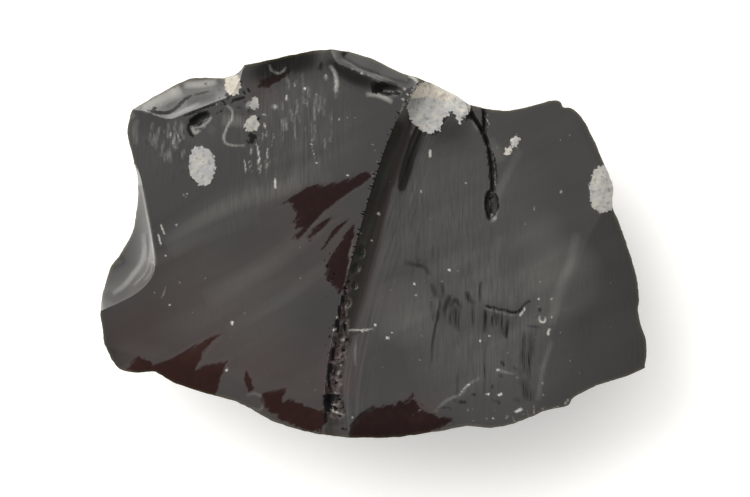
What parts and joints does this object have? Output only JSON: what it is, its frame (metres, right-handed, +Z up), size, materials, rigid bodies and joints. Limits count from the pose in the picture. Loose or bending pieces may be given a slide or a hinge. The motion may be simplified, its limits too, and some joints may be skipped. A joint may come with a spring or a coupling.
{
  "type": "obsidian chunk",
  "caption": "Flaked chunk of black volcanic glass: a glassy face stepped along a crest, hollow fracture scars, pale snowflake spots and a rough crust, lying flat on its back.",
  "frame": {"origin": "centre of the bounding box's bottom, on the flat back that the chunk rests on", "axes": "+Z up out of the broad glassy face, +X along the length to the thin right edge, +Y to the humped upper edge"},
  "size_m": [0.0656, 0.0464, 0.0177],
  "materials": {
    "obsidian": "glossy black volcanic glass with fine flow streaks, dark maroon stains and pale grey snowflake spots"
  },
  "bodies": {
    "root": {"obsidian_chunk": "obsidian"}
  },
  "joints": []
}
